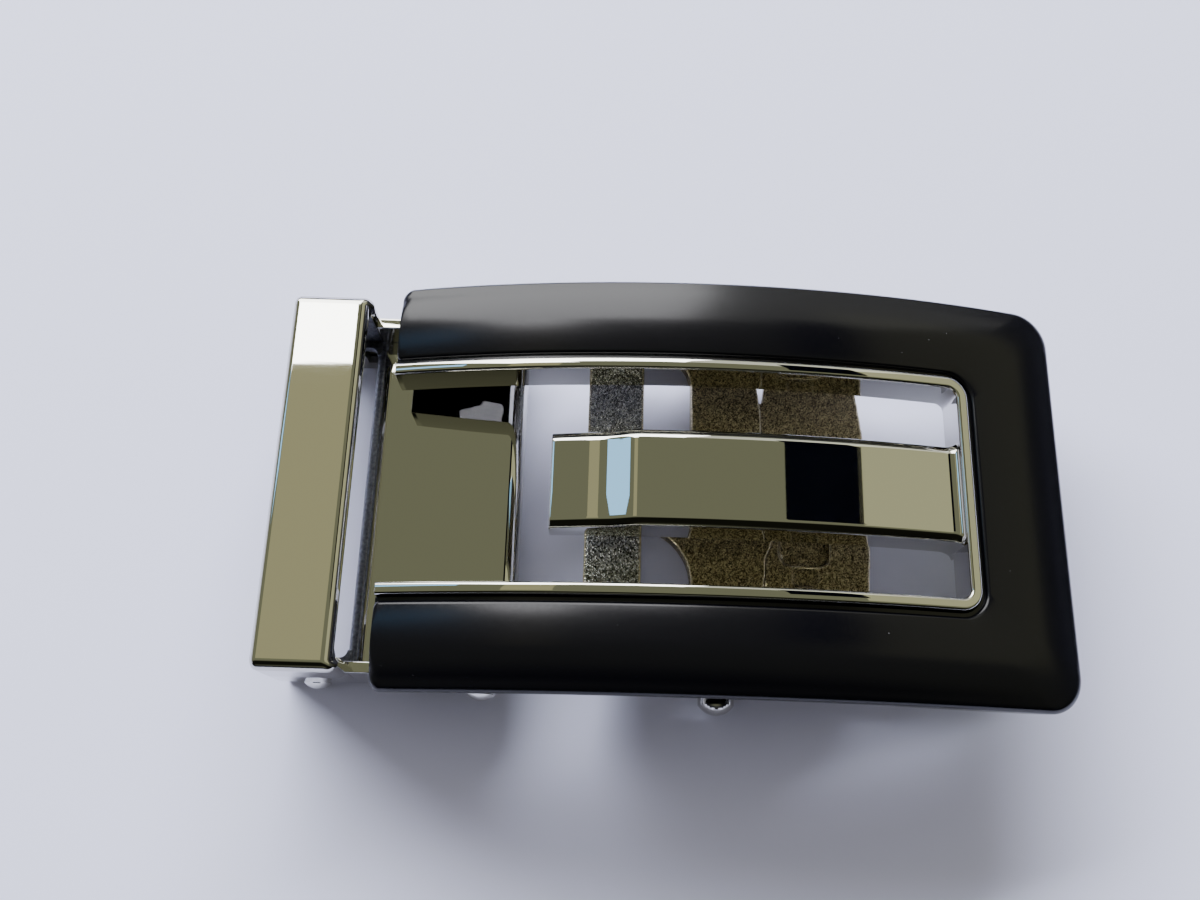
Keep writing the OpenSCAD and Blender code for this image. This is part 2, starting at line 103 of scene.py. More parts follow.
# Baked matte black enamel: nearly black with a broad satin sheen, fine orange peel and a few specks of dust
enamelLook = {"color": "#040408", "rough": 0.2, "gloss": 0.36, "sheen": "#f0eff6", "peel": 0.35,
              "peelHeight": 0.01, "dust": "#4a4a48", "dustCell": 2.6}


def blackEnamel(name, look):
    material, tree, shader, place = newMaterial(name)
    peel = addNode(tree, "ShaderNodeTexNoise", {"Scale": 1 / (look["peel"] * mm), "Detail": 3.0}, Vector=place)
    rough = addNode(tree, "ShaderNodeMapRange",
                    {"To Min": look["rough"] - 0.04, "To Max": look["rough"] + 0.05},
                    Value=peel.outputs["Fac"])
    tree.links.new(rough.outputs["Result"], shader.inputs["Roughness"])
    shader.inputs["Specular IOR Level"].default_value = look["gloss"]
    shader.inputs["Specular Tint"].default_value = hexColor(look["sheen"])
    # dust: scattered specks near 0.1 mm, one in a cell and many of them too faint to show
    cells = addNode(tree, "ShaderNodeTexVoronoi", {"Scale": 1 / (look["dustCell"] * mm)}, Vector=place)
    speck = addNode(tree, "ShaderNodeMapRange", {"From Min": 0.03, "From Max": 0.018},
                    Value=cells.outputs["Distance"])
    tone = addNode(tree, "ShaderNodeMix",
                   {"data_type": "RGBA", 6: hexColor(look["color"]), 7: hexColor(look["dust"])},
                   Factor=speck.outputs["Result"])
    tree.links.new(tone.outputs[2], shader.inputs["Base Color"])
    bump = addNode(tree, "ShaderNodeBump", {"Strength": 0.15, "Distance": look["peelHeight"] * mm},
                   Height=peel.outputs["Fac"])
    tree.links.new(bump.outputs["Normal"], shader.inputs["Normal"])
    return material


# Sand-blasted nickel on a zinc casting: brown-grey, pitted by the grit, each pit glints or stays dark alone
# the bright edge colour goes on the sharpest edges: partly worn metal, partly a painted highlight
blastedLook = {"color": "#dccb9c", "dark": "#393127", "wornEdgeHighlight": "#fff2cf", "rough": 0.34, "grit": 0.125,
               "pitDepth": 0.09, "glint": 0.8, "share": 1.7, "patch": 1.6}
coarseLook = dict(blastedLook, color="#ffffff", dark="#24231f", rough=0.24, grit=0.15, glint=0.9, share=1.5)


def blastedNickel(name, look):
    material, tree, shader, place = newMaterial(name)
    shader.inputs["Metallic"].default_value = 1.0
    # pits of a 0.1 mm grit, drawn a quarter to a half larger so that they show
    pits = addNode(tree, "ShaderNodeTexVoronoi", {"Scale": 1 / (look["grit"] * mm)}, Vector=place)
    cloud = addNode(tree, "ShaderNodeTexNoise", {"Scale": 1 / (look["patch"] * mm), "Detail": 4.0},
                    Vector=place)
    # most pits are dark and a few are bright, more of them where the wear is
    cell = addNode(tree, "ShaderNodeMath", {"operation": "POWER", 1: look["share"]}, i0=pits.outputs["Color"])
    wear = addNode(tree, "ShaderNodeMapRange",
                   {"From Min": 0.3, "From Max": 0.7, "To Min": 0.85, "To Max": 1.1}, Value=cloud.outputs["Fac"])
    bright = addNode(tree, "ShaderNodeMath", {"operation": "MULTIPLY", "use_clamp": True},
                     i0=cell.outputs["Value"], i1=wear.outputs["Result"])
    tone = addNode(tree, "ShaderNodeMix",
                   {"data_type": "RGBA", 6: hexColor(look["dark"]), 7: hexColor(look["color"])},
                   Factor=bright.outputs["Value"])
    # edges rubbed bright: worn metal, with a painted highlight on the sharpest edges as well
    edgeHighlightMask = addNode(tree, "ShaderNodeMapRange", {"From Min": 0.515, "From Max": 0.56},
                  Value=addNode(tree, "ShaderNodeNewGeometry").outputs["Pointiness"])
    wornAndHighlighted = addNode(tree, "ShaderNodeMix", {"data_type": "RGBA", 7: hexColor(look["wornEdgeHighlight"])},
                   Factor=edgeHighlightMask.outputs["Result"], i6=tone.outputs[2])
    tree.links.new(wornAndHighlighted.outputs[2], shader.inputs["Base Color"])
    rough = addNode(tree, "ShaderNodeMapRange",
                    {"To Min": look["rough"] - 0.08, "To Max": look["rough"] + 0.1},
                    Value=cloud.outputs["Fac"])
    smooth = addNode(tree, "ShaderNodeMath", {"operation": "MULTIPLY_ADD", 1: -0.2},
                     i0=edgeHighlightMask.outputs["Result"], i2=rough.outputs["Result"])
    tree.links.new(smooth.outputs["Value"], shader.inputs["Roughness"])
    # each pit gets a tilt of its own, from the colour of its cell
    height = addNode(tree, "ShaderNodeMath", {"operation": "MULTIPLY"}, i0=pits.outputs["Distance"],
                     i1=pits.outputs["Color"])
    bump = addNode(tree, "ShaderNodeBump", {"Strength": look["glint"], "Distance": look["pitDepth"] * mm},
                   Height=height.outputs["Value"])
    tree.links.new(bump.outputs["Normal"], shader.inputs["Normal"])
    return material


# Stamped spring steel, tumbled: satin grey with faint rolling lines
steelLook = {"color": "#a9a7a1", "rough": 0.28, "line": 0.12, "lineHeight": 0.01}


def stampedSteel(name, look):
    material, tree, shader, place = newMaterial(name)
    shader.inputs["Metallic"].default_value = 1.0
    shader.inputs["Base Color"].default_value = hexColor(look["color"])
    stretch = addNode(tree, "ShaderNodeMapping", {"Scale": (1.0, 0.02, 1.0)}, Vector=place)
    lines = addNode(tree, "ShaderNodeTexNoise", {"Scale": 1 / (look["line"] * mm), "Detail": 3.0},
                    Vector=stretch.outputs["Vector"])
    rough = addNode(tree, "ShaderNodeMapRange",
                    {"To Min": look["rough"] - 0.05, "To Max": look["rough"] + 0.15},
                    Value=lines.outputs["Fac"])
    tree.links.new(rough.outputs["Result"], shader.inputs["Roughness"])
    bump = addNode(tree, "ShaderNodeBump", {"Strength": 0.2, "Distance": look["lineHeight"] * mm},
                   Height=lines.outputs["Fac"])
    tree.links.new(bump.outputs["Normal"], shader.inputs["Normal"])
    return material


# Plating over the unpolished cast skin inside the loop and the slot: dull and dark, with a rough grain
skinLook = {"color": "#85878f", "shade": "#1e1f23", "rough": 0.42, "grain": 0.35, "grainHeight": 0.12}


def castPlating(name, look):
    material, tree, shader, place = newMaterial(name)
    shader.inputs["Metallic"].default_value = 1.0
    grain = addNode(tree, "ShaderNodeTexNoise", {"Scale": 1 / (look["grain"] * mm), "Detail": 4.0},
                    Vector=place)
    tone = addNode(tree, "ShaderNodeMix",
                   {"data_type": "RGBA", 6: hexColor(look["shade"]), 7: hexColor(look["color"])},
                   Factor=grain.outputs["Fac"])
    tree.links.new(tone.outputs[2], shader.inputs["Base Color"])
    rough = addNode(tree, "ShaderNodeMapRange",
                    {"To Min": look["rough"] + 0.15, "To Max": look["rough"] - 0.2},
                    Value=grain.outputs["Fac"])
    tree.links.new(rough.outputs["Result"], shader.inputs["Roughness"])
    bump = addNode(tree, "ShaderNodeBump", {"Strength": 0.8, "Distance": look["grainHeight"] * mm},
                   Height=grain.outputs["Fac"])
    tree.links.new(bump.outputs["Normal"], shader.inputs["Normal"])
    return material


chromePolish = chromePlating("polished chrome plating", chromeLook)
castSkin = castPlating("chrome plating on an as-cast skin", skinLook)
enamel = blackEnamel("baked matte black enamel", enamelLook)
castGrit = blastedNickel("coarse sand-blasted nickel", coarseLook)
leverGrit = blastedNickel("fine sand-blasted nickel", blastedLook)
jawSteel = stampedSteel("stamped spring steel", steelLook)
print("materials made")


def settlePiece(piece, body, node):    # the modifiers become the mesh, and the piece goes on its body
    shown = bpy.context.evaluated_depsgraph_get()
    shown.update()
    piece.data = bpy.data.meshes.new_from_object(piece.evaluated_get(shown), preserve_all_data_layers=True,
                                                 depsgraph=shown)
    piece.modifiers.clear()
    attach(piece, body)
    if node:
        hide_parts(node)


def finishPiece(name, mesh, body, material, node, bevel=0.0, bevelAngle=40):
    # a mesh in millimetres becomes a piece in metres, with its sharp edges bevelled
    mesh.transform(Matrix.Scale(mm, 4))
    piece = bpy.data.objects.new(name, mesh)
    bpy.context.scene.collection.objects.link(piece)
    mesh.materials.append(material)
    for polygon in mesh.polygons:
        polygon.use_smooth = True
    if bevel:
        cut = piece.modifiers.new("edge", "BEVEL")
        cut.width = bevel * mm
        cut.segments = 3
        cut.limit_method = "ANGLE"
        cut.angle_limit = math.radians(bevelAngle)
        cut.use_clamp_overlap = True
    flat = piece.modifiers.new("flat", "WEIGHTED_NORMAL")    # large flat faces shade flat up to their edges
    flat.weight = 60
    flat.use_face_influence = False
    settlePiece(piece, body, node)


def skin(rows):    # a solid over rows of points, where each row goes once round a section
    shape = bmesh.new()
    points = [[shape.verts.new(p) for p in row] for row in rows]
    for a, b in zip(points, points[1:]):
        for j in range(len(a)):
            k = (j + 1) % len(a)
            shape.faces.new((a[j], a[k], b[k], b[j]))
    shape.faces.new(list(reversed(points[0])))
    shape.faces.new(points[-1])
    bmesh.ops.recalc_face_normals(shape, faces=shape.faces)
    mesh = bpy.data.meshes.new("skin")
    shape.to_mesh(mesh)
    shape.free()
    return mesh


def arcPoints(cx, cy, r, startDeg, endDeg, steps):
    turns = [math.radians(startDeg + (endDeg - startDeg) * i / steps) for i in range(steps + 1)]
    return [(cx + r * math.cos(turn), cy + r * math.sin(turn)) for turn in turns]


def extrude(outline, y0, y1):    # a solid from an x, z outline, between two places across the buckle
    return skin([[(x, y, z) for x, z in outline] for y in (y0, y1)])


def lerp(a, b, t):
    return a + (b - a) * t


# the face's arch, in millimetres as all sizes here, with the values of the part's source
arch = {"leftX": -28.6, "rightX": 39.7, "topX": 2.25, "crest": 17.6, "radius": 124.0}


def crest(x):
    r = arch["radius"]
    return arch["crest"] - r + math.sqrt(r * r - (x - arch["topX"]) ** 2)


def cornerPath(x1, half, r, armR=0.0, straight=38):
    # plan path from the left end of the far side, round the closed end, to the left end of the near side;
    # armR rounds the arm's left corner off, and below zero it rounds the corner on the other side of the band
    x0, lead = arch["leftX"], 1.0
    turnSteps, endSteps = 14, 26
    arm = []
    for i in range(7):
        dx = lead * (1 - math.cos(math.radians(15 * i)))
        share = max(0.0, 1 - dx / abs(armR)) if armR else 0.0
        arm.append((x0 + dx, half - armR * (1 - math.sqrt(1 - share * share))))
    path = arm + [(lerp(x0 + lead, x1 - r, i / straight), half) for i in range(1, straight)]
    path += arcPoints(x1 - r, half - r, r, 90, 0, turnSteps)
    path += [(x1, lerp(half - r, -half + r, i / endSteps)) for i in range(1, endSteps)]
    path += arcPoints(x1 - r, -half + r, r, 0, -90, turnSteps)
    path += [(lerp(x1 - r, x0 + lead, i / straight), -half) for i in range(1, straight)]
    return path + [(x, -y) for x, y in reversed(arm)]


# the black face: crowned bands with a round outer edge, and side walls that draw in towards their foot
face = {"half": 20.85, "corner": 3.6, "armCorner": 1.2, "inner": 11.9, "innerCorner": 2.2, "windowEnd": 28.15,
        "rim": 1.2, "rimGap": 0.05, "groove": 0.5, "grooveDepth": 0.8, "lipRise": 0.42, "lipTurn": 84,
        "lipCorner": 0.5, "flat": 0.6, "sink": 0.15, "innerDrop": 0.2, "crownPeak": 0.45, "crownDrop": 0.8,
        "crownCurve": 1.7, "edge": 0.9, "topThick": 1.8, "wall": 1.5, "footWall": 0.5, "footShare": 0.95,
        "draft": 1.0, "sideDepth": 9.6, "mouthDepth": 3.4, "riseFrom": 21.7, "apart": 0.1, "bevel": 0.18}


def sideDepthAt(x):    # the side walls rise towards the closed end, where the strap comes in
    t = max(0.0, (x - face["riseFrom"]) / (arch["rightX"] - face["riseFrom"]))
    return face["sideDepth"] - (face["sideDepth"] - face["mouthDepth"]) * t * t


def makeFace():
    f = face
    rimX = f["windowEnd"] + f["rim"]
    inner = cornerPath(rimX + f["rimGap"], f["inner"] + f["rimGap"], f["innerCorner"])
    lip = cornerPath(rimX + f["groove"], f["inner"] + f["groove"], f["innerCorner"] + f["groove"],
                     -f["lipCorner"])
    outer = cornerPath(arch["rightX"], f["half"], f["corner"], f["armCorner"])
    peak, lipTurn = f["crownPeak"], math.radians(f["lipTurn"])
    edgeLow = f["sink"] + f["crownDrop"] + f["edge"]
    under = f["sink"] + f["crownDrop"] + f["topThick"]
    rows = []
    for a, g, o in zip(inner, lip, outer):
        span = math.hypot(o[0] - g[0], o[1] - g[1])

        def at(share, depth, pull=0.0):
            # share 0 is the groove's lip, 1 the outer edge; pull draws in from the outer edge
            x = lerp(g[0], o[0], share) + (g[0] - o[0]) / span * pull
            y = lerp(g[1], o[1], share) + (g[1] - o[1]) / span * pull
            return (x, y, crest(x) - depth)

        flat, edge = f["flat"] / span, f["edge"] / span
        row = [at(0, f["grooveDepth"] + f["apart"] / 2)]    # the groove's wall, and then its round lip
        for i in range(7):
            turn = math.radians(12 * i)
            along = (1 - math.cos(turn)) / (1 - math.cos(lipTurn))
            rise = 1 - math.sin(turn) / math.sin(lipTurn)
            row.append(at(flat * along, f["sink"] + f["innerDrop"] + f["lipRise"] * rise))
        for i in range(1, 13):    # the crown
            t = i / 12
            if t < peak:
                drop = f["innerDrop"] * (1 - t / peak) ** 2
            else:
                drop = f["crownDrop"] * ((t - peak) / (1 - peak)) ** f["crownCurve"]
            row.append(at(lerp(flat, 1 - edge, t), f["sink"] + drop))
        run = (1 - peak) * (span - f["flat"] - f["edge"])
        slope = math.degrees(math.atan(f["crownCurve"] * f["crownDrop"] / run))
        base = f["sink"] + f["crownDrop"] + f["edge"] * math.cos(math.radians(slope))
        for i in range(1, 8):    # the outer edge's round
            turn = math.radians(lerp(90 - slope, 2, i / 7))
            row.append(at(1, base - f["edge"] * math.sin(turn), f["edge"] * (1 - math.cos(turn))))
        low = sideDepthAt(o[0])
        pullShare = f["draft"] / (f["sideDepth"] - edgeLow)
        for i in range(1, 5):    # the side wall
            depth = lerp(edgeLow, low, i / 4)
            row.append(at(1, depth, pullShare * (depth - edgeLow)))
        foot = pullShare * (low - edgeLow)
        row.append(at(1, low, foot + max(f["footWall"], f["wall"] - foot) * f["footShare"]))
        # the wall's inside, the underside and the groove's floor, with each row a little apart from the next
        row.append(at(1, max(lerp(under, low, 0.5), under + f["apart"]), f["wall"]))
        row.append(at(1, under + f["apart"] / 5, f["wall"]))
        top = crest(a[0])
        row.append((a[0], a[1], top - under))
        row.append((a[0], a[1], top - f["grooveDepth"] - f["apart"]))
        row.append((lerp(a[0], g[0], 0.2), lerp(a[1], g[1], 0.2), top - f["grooveDepth"]))
        rows.append(row)
    finishPiece("blackFace", skin(rows), "face", enamel, "face_frame", f["bevel"])


makeFace()
print("face made")

# the bright insert: its rim with the inner wall and flange, and the centre tongue
rim = {"half": 10.7, "corner": 1.0, "depth": 4.7, "edge": 0.34, "crown": 0.015, "flangeTo": 17.2,
       "flangeT": 0.9, "flangeEnd": 3.5, "apart": 0.06, "bevel": 0.12}


def makeRim():
    f, r = face, rim
    rimX, e, low = f["windowEnd"] + f["rim"], r["edge"], r["depth"] - r["flangeT"]
    inside = cornerPath(f["windowEnd"], r["half"], r["corner"], straight=40)
    outside = cornerPath(rimX, f["inner"], f["innerCorner"], straight=40)
    flange = cornerPath(rimX + r["flangeEnd"], r["flangeTo"], f["innerCorner"], straight=40)
    rows = []
    for a, o, g in zip(inside, outside, flange):
        def at(share, depth):    # share 0 is the window's side, 1 the face's side
            x, y = lerp(a[0], o[0], share), lerp(a[1], o[1], share)
            return (x, y, crest(x) - depth)

        width = math.hypot(o[0] - a[0], o[1] - a[1])
        row = [at(0, r["depth"]), at(0, r["depth"] * 0.5), at(0, e + r["apart"])]
        for i in range(1, 7):    # the round edge on the window's side
            turn = math.radians(180 - 15 * i)
            row.append(at((e + e * math.cos(turn)) / width, e - e * math.sin(turn)))
        row.append(at(0.5, -r["crown"]))
        for i in range(6):    # the round edge on the face's side
            turn = math.radians(90 - 15 * i)
            row.append(at(1 - (e - e * math.cos(turn)) / width, e - e * math.sin(turn)))
        row += [at(1, e + r["apart"]), at(1, low * 0.6), at(1, low)]
        row += [(g[0], g[1], crest(g[0]) - low), (g[0], g[1], crest(g[0]) - r["depth"])]
        rows.append(row)
    finishPiece("brightRim", skin(rows), "face", chromePolish, "face_insert", r["bevel"])


tongue = {"startX": -12.35, "endX": 28.4, "half": 4.9, "flatFrom": 0.8, "sink": 1.2, "depth": 4.8, "step": 1.5,
          "bendWidth": 12.0, "soften": 0.09, "filletX": 26.9, "filletRise": 1.1, "filletSpread": 0.9,
          "stations": 150, "bevel": 0.15}
# the long edges' bevel from the side to the top: how far in, and how far under the top
tongueEdge = [(0, 0.62), (0.05, 0.46), (0.14, 0.36), (0.64, 0.08), (0.74, 0.03), (0.88, 0), (1.05, 0)]
# the step from the free end on: share of the bend's width, and height as a share of the step
bend = [(0, -1), (0.1, -0.9), (0.2, -0.8), (0.3, -0.7), (0.4, -0.62), (0.475, -0.53), (0.55, -0.34),
        (0.63, -0.12), (0.71, 0)]


def stepAt(x):
    t = (x - tongue["startX"]) / tongue["bendWidth"]
    for (a, va), (b, vb) in zip(bend, bend[1:]):
        if t <= b:
            return lerp(va, vb, max(0.0, (t - a) / (b - a)))
    return 0.0


def tongueTop(x):    # the step is averaged over nine places near x, so that the bend has no creases
    step = sum(stepAt(x + d * tongue["soften"]) for d in range(-4, 5)) / 9
    return crest(x) - tongue["sink"] + tongue["step"] * step


def makeTongue():
    t = tongue
    rows = []
    for i in range(t["stations"] + 1):
        x = lerp(t["startX"], t["endX"], i / t["stations"])
        into = min(1.0, max(0.0, (x - t["filletX"]) / (t["endX"] - t["filletX"])))
        lift = 1 - math.sqrt(1 - into * into)    # the fillet at the root
        top = tongueTop(x) + t["filletRise"] * lift
        low = crest(x) - t["sink"] - t["depth"]
        half = t["half"] + t["filletSpread"] * lift
        side = [(half, low), (half, lerp(low, top, 0.5))]
        side += [(half - inset, top - drop) for inset, drop in tongueEdge]
        middle = [((half - t["flatFrom"]) * share, top) for share in (0.5, 0, -0.5)]
        rows.append([(x, y, z) for y, z in side + middle + [(-y, z) for y, z in reversed(side)]])
    finishPiece("centreTongue", skin(rows), "face", chromePolish, None, t["bevel"], 50)


makeRim()
makeTongue()
print("insert made")

# the clip: strap plate with its round end, the slot under the loop, side walls with ears, and keeper loop
clip = {"leftX": -39.7, "mouthX": -31.5, "plateEnd": -15.6, "nose": 1.85, "noseStep": 0.3, "strapZ": 5.7,
        "plateT": 1.1, "strapHalf": 17.7, "wallHalf": 18.8, "wallInset": 0.4, "wallLap": 0.5,
        "hinge": (-18.35, 8.3), "earR": 2.0, "earFoot": 4.0, "lipZ": 9.4, "lipInset": 0.3, "bevel": 0.1}
loop = {"half": 19.3, "topZ": 14.0, "barT": 1.6, "barInset": 0.5, "corner": 1.1, "leftEdge": 0.75,
        "rightEdge": 0.95, "underEdge": 0.5, "narrowing": 0.7, "liningInset": 0.45, "liningLap": 0.02,
        "liningT": 0.4}
slotHole = {"farX": -37.3, "inset": 0.8, "edge": 0.95, "barEdge": 0.5, "corner": 0.8, "endInset": 0.8,
            "barLap": 0.2, "plateLap": 0.5, "endSink": 0.05, "endBevel": 0.25}


def clipPiece(name, mesh, material, bevel=0.0, bevelAngle=40):
    finishPiece(name, mesh, "clip", material, "clip", bevel, bevelAngle)


def loopStations():    # y, z and the outward direction, over the loop from the far leg to the near one
    low, half, r, steps = clip["strapZ"] - clip["plateT"], loop["half"], loop["corner"], 10
    turnZ = loop["topZ"] - r
    legMid = lerp(low, turnZ, 0.5)
    stations = [(half, low, 1.0, 0.0), (half, legMid, 1.0, 0.0)]
    for side, start in ((1, 0), (-1, 90)):
        for i in range(steps + 1):
            turn = math.radians(start + 90 * i / steps)
            ny, nz = math.cos(turn), math.sin(turn)
            stations.append((side * (half - r) + r * ny, turnZ + r * nz, ny, nz))
    return stations + [(-half, legMid, -1.0, 0.0), (-half, low, -1.0, 0.0)]


def makeLoop():
    c, k = clip, loop
    under, insideHalf = k["underEdge"], c["strapHalf"]
    shrink = insideHalf / (k["half"] - k["corner"] * (1 - math.sqrt(0.5)))
    rows, lining = [], []
    for y, z, ny, nz in loopStations():
        innerY = math.copysign(insideHalf, y) if abs(ny) > 0.5 else y * shrink
        innerY = max(-insideHalf, min(insideHalf, innerY))
        innerZ = min(k["topZ"] - k["barT"], z)
        # the bar is a little narrower than its legs
        rightX = c["mouthX"] - k["barInset"] * (1 - abs(ny)) ** k["narrowing"]
        section = []
        for x, turnFrom, e, way in ((c["leftX"], 180, k["leftEdge"], -1), (rightX, 90, k["rightEdge"], -1),
                                    (rightX, 0, under, 1), (c["leftX"], -90, under, 1)):
            centreX = x + (e if x == c["leftX"] else -e)
            baseY, baseZ = (y, z) if way < 0 else (innerY, innerZ)    # the outside, then the inside
            for i in range(7):
                turn = math.radians(turnFrom - 15 * i)
                off = way * e * (1 + way * math.sin(turn))
                section.append((centreX + e * math.cos(turn), baseY + ny * off, baseZ + nz * off))
        rows.append(section)
        x0, x1 = c["leftX"] + k["liningInset"], rightX - k["liningInset"]
        lap, deep = -k["liningLap"], k["liningT"]
        lining.append([(x, innerY + off * ny, innerZ + off * nz)
                       for x, off in ((x0, lap), (x1, lap), (x1, deep), (x0, deep))])
    clipPiece("loopLining", skin(lining), castSkin)
    clipPiece("keeperLoop", skin(rows), chromePolish)


def makePlate():
    c, s = clip, slotHole
    z, low, half, nose, step = c["strapZ"], c["strapZ"] - c["plateT"], c["strapHalf"], c["nose"], c["noseStep"]
    noseX, startX = c["plateEnd"] - nose, c["mouthX"] - s["inset"]
    edgeX, barX, e = startX + s["edge"], c["leftX"] + c["wallInset"], s["barEdge"]
    lip = arcPoints(edgeX, z - s["edge"], s["edge"], 180, 90, 14) + [(edgeX, low), (startX, low)]
    clipPiece("slotLip", extrude(lip, -half, half), castSkin)
    plate = [(edgeX, z)] + arcPoints(noseX, z - nose, nose, 90, -90, 28)
    # under the rolled end the plate steps up to its own thickness
    plate += [(noseX - 0.2, z - 2 * nose + step), (noseX - 0.3, low - step), (noseX - 0.8, low), (edgeX, low)]
    clipPiece("strapPlate", extrude(plate, -half, half), chromePolish, c["bevel"], 60)
    # the floor bar of the loop, on the other side of the slot
    bar = arcPoints(barX + e, z - e, e, 180, 90, 6) + arcPoints(s["farX"] - e, z - e, e, 90, 0, 6)
    bar += [(s["farX"], low), (barX, low)]
    clipPiece("loopFloor", extrude(bar, -half, half), chromePolish, c["bevel"], 60)
    # the slot's ends, with round corners
    r, endY = s["corner"], half - s["endInset"]
    plan = [(s["farX"] - s["barLap"], half), (s["farX"] - s["barLap"], endY - r)]
    plan += arcPoints(s["farX"] + r, endY - r, r, 180, 90, 8) + arcPoints(startX - r, endY - r, r, 90, 0, 8)
    plan += [(startX + s["plateLap"], endY - r), (startX + s["plateLap"], half)]
    for side, label in ((1, "Far"), (-1, "Near")):
        end = skin([[(x, side * y, level) for x, y in plan] for level in (low, z - s["endSink"])])
        clipPiece("slotEnd" + label, end, castSkin, s["endBevel"])


def makeWalls():    # side walls with their guiding lips and ears
    c = clip
    hx, hz = c["hinge"]
    noseX, leftX, lipX = c["plateEnd"] - c["nose"], c["leftX"] + c["wallInset"], c["mouthX"] - c["lipInset"]
    wall = [(leftX, 0.0), (noseX, 0.0)]
    wall += arcPoints(noseX, c["strapZ"] - c["nose"], c["nose"], -90, 0, 6)[1:]
    wall += [(hx + c["earR"], c["strapZ"])] + arcPoints(hx, hz, c["earR"], 0, 130, 18)
    wall += [(hx - c["earFoot"], c["lipZ"]), (lipX, c["lipZ"]), (lipX, c["strapZ"] - c["wallLap"]),
             (leftX, c["strapZ"] - c["wallLap"])]
    for side, label in ((1, "Far"), (-1, "Near")):
        ends = sorted((side * c["strapHalf"], side * c["wallHalf"]))
        clipPiece("clipWall" + label, extrude(wall, *ends), chromePolish, c["bevel"])


makeLoop()
makePlate()
makeWalls()
print("clip made")

# the castings behind the face: their cast edges are round, so the solids are remeshed and smoothed
casting = {"voxel": 0.2, "smooth": 2, "softness": 0.5}


def castCopy(name, node, body, material):
    piece = bpy.data.objects.new(name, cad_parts[node].data.copy())
    bpy.context.scene.collection.objects.link(piece)
    piece.data.materials.clear()
    piece.data.materials.append(material)
    remesh = piece.modifiers.new("grain", "REMESH")
    remesh.mode = "VOXEL"
    remesh.voxel_size = casting["voxel"] * mm
    remesh.use_smooth_shade = True
    soft = piece.modifiers.new("soft", "SMOOTH")
    soft.factor = casting["softness"]
    soft.iterations = casting["smooth"]
    settlePiece(piece, body, node)


castCopy("bracketCasting", "back_bracket", "face", castGrit)
castCopy("pawlCasting", "pawl_lever", "pawl", leverGrit)

# the jaw, the pin and the rivets show their own solids
ownSolids = {"clamp_jaw": jawSteel, "pawl_pin": chromePolish, "hinge_rivet_near": chromePolish,
             "hinge_rivet_far": chromePolish, "clamp_rivet_near": chromePolish, "clamp_rivet_far": chromePolish}
for node, material in ownSolids.items():
    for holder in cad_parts[node].material_slots:
        holder.material = material
print("castings and pins made")

# the white paper that the buckle lies on, which has no gloss
sheet = {"half": 3.0, "under": 0.00002, "color": "#e6e7f3", "rough": 0.8, "gloss": 0.2}    # in metres


def flatSheet(name, corners, material):
    mesh = bpy.data.meshes.new(name)
    mesh.from_pydata(corners, [], [(0, 1, 2, 3)])
    mesh.materials.append(material)
    plane = bpy.data.objects.new(name, mesh)
    bpy.context.scene.collection.objects.link(plane)
    return plane


def dullMaterial(name, color, rough, gloss):
    material, _, shader, _ = newMaterial(name)
    shader.inputs["Base Color"].default_value = hexColor(color)
    shader.inputs["Roughness"].default_value = rough
    shader.inputs["Specular IOR Level"].default_value = gloss
    return material


h = sheet["half"]
paper = dullMaterial("uncoated white paper", sheet["color"], sheet["rough"], sheet["gloss"])
floor = flatSheet("floor", [(-h, -h, 0), (h, -h, 0), (h, h, 0), (-h, h, 0)], paper)
floor.location = (0, 0, -sheet["under"])

# the room: an olive ceiling over dark walls, nearly black on the near side but for its lowest part
room = {"ceiling": "#86886d", "wall": "#34353b", "wallTop": (0.1, 0.6), "nearSide": (-0.48, -0.26),
        "nearShare": 0.04, "nearLow": (-0.82, -0.95)}


def makeRoom(look):
    world = bpy.data.worlds.new("room")
    world.use_nodes = True
    air = world.node_tree
    way = addNode(air, "ShaderNodeSeparateXYZ",
                  Vector=addNode(air, "ShaderNodeTexCoord").outputs["Generated"])
    height = addNode(air, "ShaderNodeMapRange",
                     {"interpolation_type": "SMOOTHSTEP", "From Min": look["wallTop"][0],
                      "From Max": look["wallTop"][1]}, Value=way.outputs["Z"])
    tint = addNode(air, "ShaderNodeMix",
                   {"data_type": "RGBA", 6: hexColor(look["wall"]), 7: hexColor(look["ceiling"])},
                   Factor=height.outputs["Result"])
    near = addNode(air, "ShaderNodeMapRange",
                   {"interpolation_type": "SMOOTHSTEP", "From Min": look["nearSide"][0],
                    "From Max": look["nearSide"][1], "To Min": look["nearShare"]}, Value=way.outputs["Y"])
    low = addNode(air, "ShaderNodeMapRange",
                  {"interpolation_type": "SMOOTHSTEP", "From Min": look["nearLow"][0],
                   "From Max": look["nearLow"][1]}, Value=way.outputs["Y"])
    share = addNode(air, "ShaderNodeMath", {"operation": "ADD"}, i0=near.outputs["Result"],
                    i1=low.outputs["Result"])
    air.links.new(tint.outputs[2], air.nodes["Background"].inputs["Color"])
    air.links.new(share.outputs["Value"], air.nodes["Background"].inputs["Strength"])
    bpy.context.scene.world = world


makeRoom(room)

